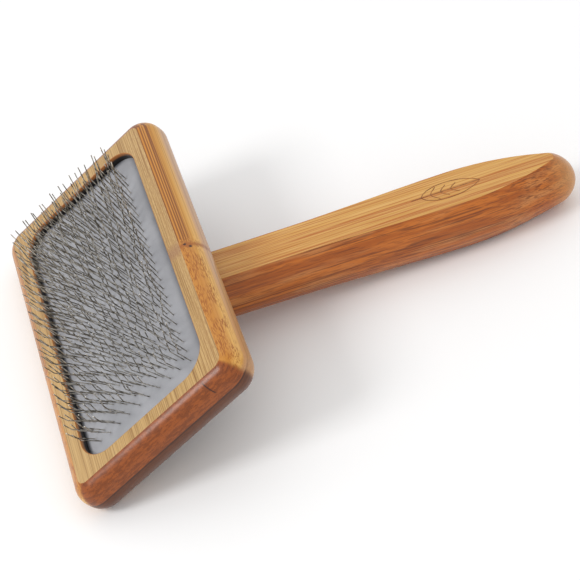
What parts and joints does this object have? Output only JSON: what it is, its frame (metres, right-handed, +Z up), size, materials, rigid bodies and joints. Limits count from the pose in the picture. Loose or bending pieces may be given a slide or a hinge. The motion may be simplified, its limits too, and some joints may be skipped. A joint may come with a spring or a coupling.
{
  "type": "slicker brush",
  "caption": "Pet grooming slicker brush: rounded rectangular bamboo head with a cushioned pad of bent wire pins, and a straight bamboo handle set back at an angle.",
  "frame": {"origin": "centre of the footprint on the floor that the brush lies on, back down and pins up", "axes": "+X along the brush from the head to the end of the handle, +Y along the head, +Z up"},
  "size_m": [0.1736, 0.1208, 0.0449],
  "materials": {
    "bamboo_frame": "smooth clear-lacquered bamboo, darker reddish end grain",
    "bamboo_board": "smooth clear-lacquered bamboo",
    "bamboo_handle": "smooth clear-lacquered laminated bamboo",
    "grey_rubber": "matt, fine texture",
    "cloth": "plain weave",
    "foam": "open-cell foam",
    "pin_wire": "drawn steel wire",
    "screw_steel": "zinc-plated"
  },
  "bodies": {
    "brush": {"front_frame": "bamboo_frame", "back_board": "bamboo_board", "handle": "bamboo_handle", "handle_screws": "screw_steel"},
    "pin_bed": {"rubber_pad": "grey_rubber", "cloth_backing": "cloth", "foam_cushion": "foam", "pin_row_01": "pin_wire", "pin_row_02": "pin_wire", "pin_row_03": "pin_wire", "pin_row_04": "pin_wire", "pin_row_05": "pin_wire", "pin_row_06": "pin_wire", "pin_row_07": "pin_wire", "pin_row_08": "pin_wire", "pin_row_09": "pin_wire", "pin_row_10": "pin_wire", "pin_row_11": "pin_wire", "pin_row_12": "pin_wire", "pin_row_13": "pin_wire", "pin_row_14": "pin_wire", "pin_row_15": "pin_wire", "pin_row_16": "pin_wire", "pin_row_17": "pin_wire", "pin_row_18": "pin_wire", "pin_row_19": "pin_wire", "pin_row_20": "pin_wire", "pin_row_21": "pin_wire", "pin_row_22": "pin_wire", "pin_row_23": "pin_wire"}
  },
  "joints": [
    {"name": "pad_press", "type": "slide", "parent": "brush", "child": "pin_bed", "axis": [0.4917, 0, -0.8707], "range_m": [0, 0.0015], "stiffness_N_per_m": 3000, "deforming": ["foam_cushion"]}
  ]
}
